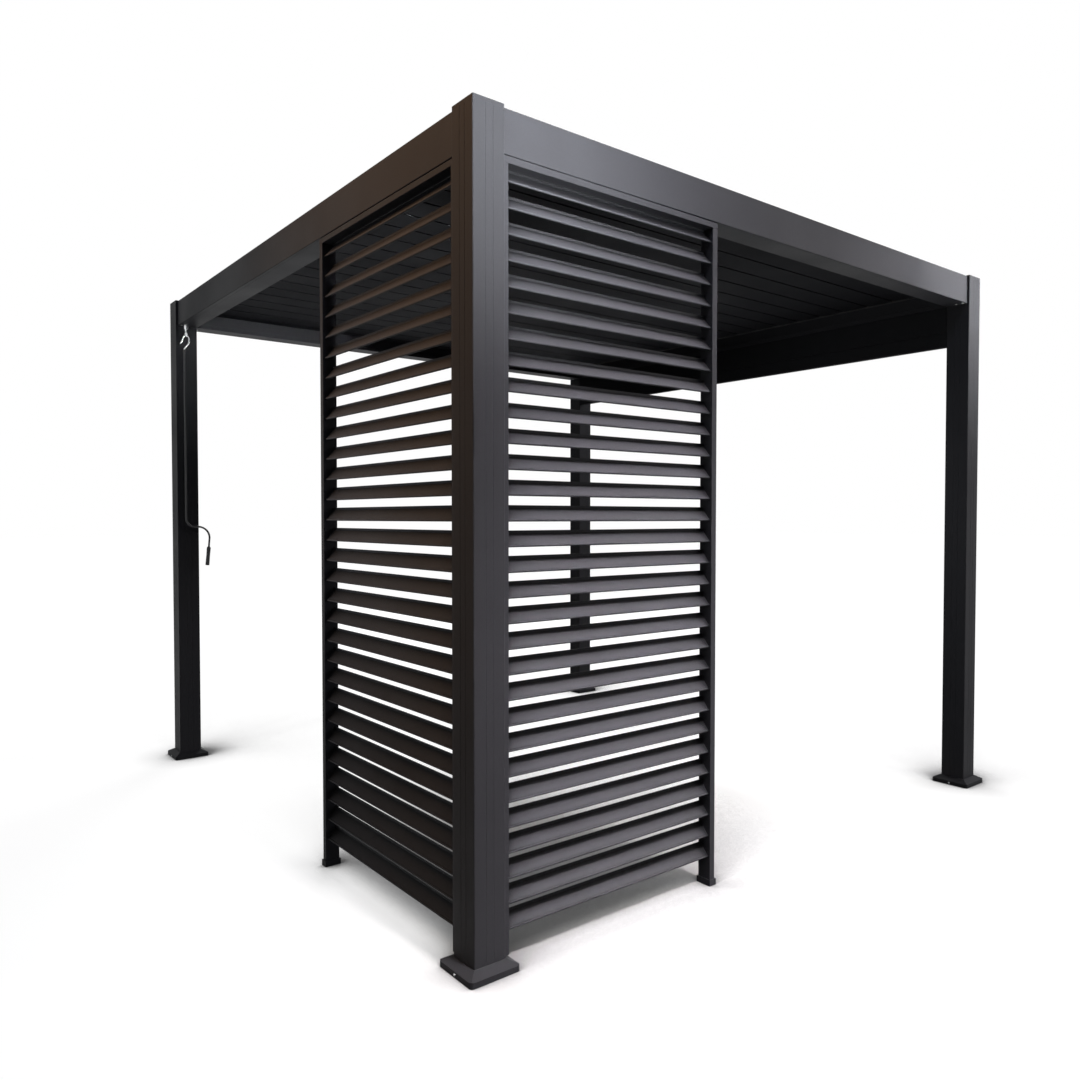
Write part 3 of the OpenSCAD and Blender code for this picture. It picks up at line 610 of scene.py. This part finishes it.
class BuildStage(bpy.types.Operator):
    """Lay the pale floor and set the soft light"""

    bl_idname = "gazebo.build_stage"
    bl_label = "Studio"

    def execute(self, context):
        stage = context.scene.gazebo_stage
        self.fill_world(stage)
        self.lay_floor(stage)
        for lamp in LAMPS:
            soft_box(*lamp, level=stage.lamps)
        context.scene.view_settings.view_transform = "Standard"
        return {"FINISHED"}

    def fill_world(self, stage):
        """White where it is seen, and a low even light for all else."""
        world = bpy.data.worlds.new("studio")
        bpy.context.scene.world = world
        world.use_nodes = True
        graph = Graph(world.node_tree)
        graph.tree.nodes.clear()
        level = graph.spread(seen_directly(graph), 0.0, 1.0, stage.ambient, 1.0)
        light = graph.node("ShaderNodeBackground", {"Color": (1, 1, 1, 1), "Strength": level})
        graph.node("ShaderNodeOutputWorld", {"Surface": light.outputs["Background"]})

    def lay_floor(self, stage):
        """A wide flat floor."""
        floor_shape = bmesh.new()
        bmesh.ops.create_grid(floor_shape, x_segments=1, y_segments=1, size=stage.floor_wide / 2)
        mesh = bpy.data.meshes.new("studio_floor")
        floor_shape.to_mesh(mesh)
        floor_shape.free()
        mesh.transform(Matrix.Translation(-Z * stage.floor_drop))
        mesh.materials.append(self.floor_paint(stage))
        floor = bpy.data.objects.new("studio_floor", mesh)
        bpy.context.scene.collection.objects.link(floor)

    def floor_paint(self, stage):
        """Pale paint that is lifted to white where it is seen, apart from the gazebo's shadow."""
        material = bpy.data.materials.new("floor_paint")
        material.use_nodes = True
        graph = Graph(material.node_tree)
        graph.tree.nodes.clear()
        near = graph.math("MULTIPLY", self.contact_shade(graph, stage),
                          self.wide_shade(graph, stage))
        place = graph.node("ShaderNodeTexCoord").outputs["Object"]
        far = graph.node("ShaderNodeVectorMath", operation="LENGTH")
        graph.plug(far.inputs[0], place)
        lift = graph.spread(far.outputs["Value"], stage.glow_near, stage.glow_far,
                            stage.floor_lift, 1.0)
        glow = graph.node("ShaderNodeEmission", {"Strength": graph.math("MULTIPLY", lift, near)})
        pale = graph.node("ShaderNodeBsdfDiffuse", {"Color": grey(stage.floor_tone)})
        shown = graph.node("ShaderNodeAddShader")
        graph.plug(shown.inputs[0], pale.outputs[0])
        graph.plug(shown.inputs[1], glow.outputs[0])
        dull = graph.node("ShaderNodeBsdfDiffuse", {"Color": grey(stage.floor_bounce)})
        both = graph.node("ShaderNodeMixShader", {"Fac": seen_directly(graph)})
        graph.plug(both.inputs[1], dull.outputs[0])
        graph.plug(both.inputs[2], shown.outputs[0])
        graph.node("ShaderNodeOutputMaterial", {"Surface": both.outputs[0]})
        return material

    def contact_shade(self, graph, stage):
        """The narrow shade round the feet: 1 where the floor is clear of it."""
        sky = graph.node("ShaderNodeAmbientOcclusion", {"Distance": stage.contact_reach},
                         samples=CLOSE_RAYS)
        return graph.spread(sky.outputs["AO"], *CLOSE_SKY, stage.contact_dark, 1.0)

    def wide_shade(self, graph, stage):
        """The soft shade behind the screens: 1 where the floor is clear of it."""
        lean = graph.node("ShaderNodeCombineXYZ", dict(zip("XYZ", SHADE_FROM)))
        sky = graph.node("ShaderNodeAmbientOcclusion",
                         {"Distance": stage.shade_reach, "Normal": lean.outputs[0]},
                         samples=WIDE_RAYS)
        faded = graph.math("POWER", graph.spread(sky.outputs["AO"], *WIDE_SKY, 0.0, 1.0),
                           stage.shade_curve)
        return graph.spread(faded, 0.0, 1.0, stage.shade_dark, 1.0)


class CoatFrame(bpy.types.Operator):
    """Give every packed piece the finish of its material slot"""

    bl_idname = "gazebo.coat_frame"
    bl_label = "Coats and metals"

    def execute(self, context):
        for name, node in frame["nodes"].items():
            # The slats get the screens' coat with shade painted between them and light painted on their noses.
            slats = name.endswith("_slats")
            for place in node.material_slots:
                place.material = slat_coat_with_painted_shade() if slats else finish_of(place.material.name)
        return {"FINISHED"}


class AddFootScrews(bpy.types.Operator):
    """Screw each foot cover at the middle of its left and right rims"""

    bl_idname = "gazebo.add_foot_screws"
    bl_label = "Foot cover screws"

    def execute(self, context):
        sizes = context.scene.gazebo_fittings
        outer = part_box("foot_covers")[1].x
        places = []
        for centre in foot_centres():
            reach = outer - abs(centre.x)
            for side in (-1, 1):
                rim = centre + X * side * reach + Z * sizes.foot_screw_up
                places.append(facing(rim, X * side))
        screw = socket_screw(sizes.foot_screw, sizes.screw_high)
        add_piece("foot_cover_screws", copies(screw, places), "plate_steel")
        return {"FINISHED"}


class AddAnchorBolts(bpy.types.Operator):
    """Bolt the base plates down under their covers"""

    bl_idname = "gazebo.add_anchor_bolts"
    bl_label = "Anchor bolts"

    def execute(self, context):
        sizes = context.scene.gazebo_fittings
        plate_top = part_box("base_plates")[1].z
        shaft_r, washer_r, washer = sizes.anchor_shaft, sizes.anchor_washer, sizes.washer_thick
        head = hex_prism(sizes.anchor_across, washer, washer + sizes.anchor_high,
                         sizes.anchor_chamfer)
        disc = spun([(shaft_r, 0), (washer_r, 0), (washer_r, washer), (shaft_r, washer)], ring=True)
        end = sizes.anchor_end - plate_top
        shaft = spun([(0, end), (shaft_r, end), (shaft_r, washer), (0, washer)])
        half = sizes.anchor_pitch / 2
        places = [Matrix.Translation(centre + X * half * a + Y * half * b + Z * plate_top)
                  for centre in foot_centres() for a in (-1, 1) for b in (-1, 1)]
        add_piece("anchor_bolts", copies(merged(head, disc, shaft), places), "plate_steel")
        return {"FINISHED"}


class AddBeamScrews(bpy.types.Operator):
    """Screw the free beam ends to their posts from below"""

    bl_idname = "gazebo.add_beam_screws"
    bl_label = "Beam screws"

    def execute(self, context):
        sizes = context.scene.gazebo_fittings
        places = []
        for name, ends in FREE_ENDS.items():
            low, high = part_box(name)
            along, across = (X, Y) if high.x - low.x > high.y - low.y else (Y, X)
            outer, inward = (low, 1) if (low + high).dot(across) < 0 else (high, -1)
            middle = outer.dot(across) + inward * sizes.chamber / 2
            for end in ends:
                tip = (high if end > 0 else low).dot(along) - end * sizes.beam_screw_in
                for offset in (-1, 1):
                    side = middle + inward * offset * sizes.chamber / 4
                    places.append(facing(along * tip + across * side + Z * low.z, -Z))
        screw = socket_screw(sizes.beam_screw, sizes.screw_high)
        add_piece("beam_screws", copies(screw, places), "plate_steel")
        return {"FINISHED"}


class AddLouvreFittings(bpy.types.Operator):
    """Give each louvre its end plate screws, its lever pin's clip and the seal under its lip"""

    bl_idname = "gazebo.add_louvre_fittings"
    bl_label = "Louvre fittings"

    def execute(self, context):
        sizes = context.scene.gazebo_fittings
        for name in LOUVRES:
            self.fasten(name, sizes)
            self.seal(name, sizes)
        return {"FINISHED"}

    def fasten(self, name, sizes):
        """The screws of a louvre's end plates, and the clip on its lever pin."""
        pivot = pivot_of(name)
        places = []
        for side in (-1, 1):
            for offset in (-1, 1):
                spot = pivot + Y * offset * sizes.louvre_screw_out - Z * sizes.louvre_screw_drop
                spot.x = side * sizes.louvre_half
                places.append(facing(spot, X * side))
        screws = copies(socket_screw(sizes.louvre_screw, sizes.screw_high), places)
        pin = pivot - (Y + Z).normalized() * sizes.lever
        pin.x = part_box("link_bar")[0].x - sizes.clip_gap
        rim, bore, thick = sizes.clip, sizes.clip * sizes.clip_bore, sizes.clip_thick
        clip = spun([(bore, 0), (rim, 0), (rim, thick), (bore, thick)], steps=16, ring=True)
        clips = copies(clip, [facing(pin, -X)])
        add_piece("fasteners_" + name, merged(screws, clips), "plate_steel", name)

    def seal(self, name, sizes):
        """The rubber strip under a louvre's lip."""
        pivot = pivot_of(name)
        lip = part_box(name)[1].y - sizes.lip_wall / 2
        top = pivot.z - sizes.lip_drop
        half = sizes.louvre_half - sizes.seal_inset
        strip = bar((-half, lip - sizes.seal / 2, top - sizes.seal_deep),
                    (half, lip + sizes.seal / 2, top), sizes.seal_edge)
        add_piece("seal_" + name, strip, "grip_rubber", name)


class AddStripScrews(bpy.types.Operator):
    """Screw the bearing strips to their beams between the bosses"""

    bl_idname = "gazebo.add_strip_screws"
    bl_label = "Bearing strip screws"

    def execute(self, context):
        sizes = context.scene.gazebo_fittings
        pivots = [pivot_of(name) for name in LOUVRES]
        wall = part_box("bearing_strips")[1].x - sizes.strip
        places = []
        for side in (-1, 1):
            for first, second in zip(pivots, pivots[1:]):
                spot = (first + second) / 2
                spot.x = side * wall
                places.append(facing(spot, -X * side))
        screw = socket_screw(sizes.strip_screw, sizes.screw_high)
        add_piece("bearing_strip_screws", copies(screw, places), "plate_steel")
        return {"FINISHED"}


class AddSlatScrews(bpy.types.Operator):
    """Put a coated screw through each screen's outer stile into every slat"""

    bl_idname = "gazebo.add_slat_screws"
    bl_label = "Slat screws"

    def execute(self, context):
        sizes = context.scene.gazebo_fittings
        for name, along, across in (("front_screen", X, Y), ("left_screen", Y, X)):
            frame_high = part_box(name + "_frame")[1]
            low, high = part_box(name + "_slats")
            stile = frame_high.dot(along) - sizes.shoe_out
            count = int((high.z - low.z) / sizes.slat_pitch) + 1
            middle = (low + high).dot(across) / 2
            places = []
            for number in range(count):
                up = low.z + sizes.slat_mid + number * sizes.slat_pitch
                places.append(facing(along * stile + across * middle + Z * up, along))
            screw = socket_screw(sizes.slat_screw, sizes.slat_screw_high)
            add_piece("screws_" + name, copies(screw, places), "screen_coat")
        return {"FINISHED"}


class AddCrankFittings(bpy.types.Operator):
    """Sleeve the top of the crank's rod and pin the eye's collar"""

    bl_idname = "gazebo.add_crank_fittings"
    bl_label = "Crank fittings"

    def execute(self, context):
        sizes = context.scene.gazebo_fittings
        low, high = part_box("crank_rod")
        eye_low, eye_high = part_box("crank_eye")
        axis = Vector((low.x + sizes.rod, (low.y + high.y) / 2, high.z))
        sleeve = spun(self.sleeve_outline(sizes), ring=True)
        add_piece("crank_sleeve", copies(sleeve, [Matrix.Translation(axis)]), "rod_coat", "crank")
        collar = Vector(((eye_low.x + eye_high.x) / 2, (eye_low.y + eye_high.y) / 2,
                         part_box("left_beam")[0].z - sizes.collar_screw_down))
        screw = socket_screw(sizes.collar_screw, sizes.collar_screw_high)
        places = [facing(collar + side * sizes.collar, side) for side in (-Y, X)]
        add_piece("collar_screws", copies(screw, places), "plate_steel")
        return {"FINISHED"}

    def sleeve_outline(self, sizes):
        """Half the sleeve's section, from its lower inner edge outwards and up to its top."""
        long, top, foot = sizes.sleeve, sizes.sleeve_top, sizes.sleeve_foot
        bore = sizes.rod + sizes.sleeve_gap
        rim = sizes.rod + sizes.sleeve_rim
        waist = sizes.rod + sizes.sleeve_waist
        return [(bore, -long), (rim - foot, -long), (rim, -long + foot),
                (rim, -long * (WAIST_LOW + WAIST_SLOPE)), (waist, -long * WAIST_LOW),
                (waist, -long * WAIST_HIGH), (rim, -long * (WAIST_HIGH - WAIST_SLOPE)),
                (rim, -top), (rim - sizes.sleeve_cone, 0), (bore, 0)]


STEPS = [PlaceCamera, BuildStage, CoatFrame, AddFootScrews, AddAnchorBolts, AddBeamScrews,
         AddLouvreFittings, AddStripScrews, AddSlatScrews, AddCrankFittings]


class GazeboPanel(bpy.types.Panel):
    """Lists the gazebo's finishing steps"""

    bl_idname = "VIEW3D_PT_gazebo"
    bl_label = "Gazebo"
    bl_space_type = "VIEW_3D"
    bl_region_type = "UI"
    bl_category = "Gazebo"

    def draw(self, context):
        for step in STEPS:
            self.layout.operator(step.bl_idname)
        for name, group in GROUPS.items():
            box = self.layout.box()
            box.label(text=group.__doc__)
            for key in group.__annotations__:
                box.prop(getattr(context.scene, name), key)


CLASSES = [*GROUPS.values(), *STEPS, GazeboPanel]


def register():
    for cls in CLASSES:
        bpy.utils.register_class(cls)
    for name, group in GROUPS.items():
        setattr(bpy.types.Scene, name, PointerProperty(type=group))


def unregister():
    for name in GROUPS:
        delattr(bpy.types.Scene, name)
    for cls in reversed(CLASSES):
        bpy.utils.unregister_class(cls)


def main():
    register()
    for step in STEPS:
        group, call = step.bl_idname.split(".")
        getattr(getattr(bpy.ops, group), call)()


if __name__ == "__main__":
    main()
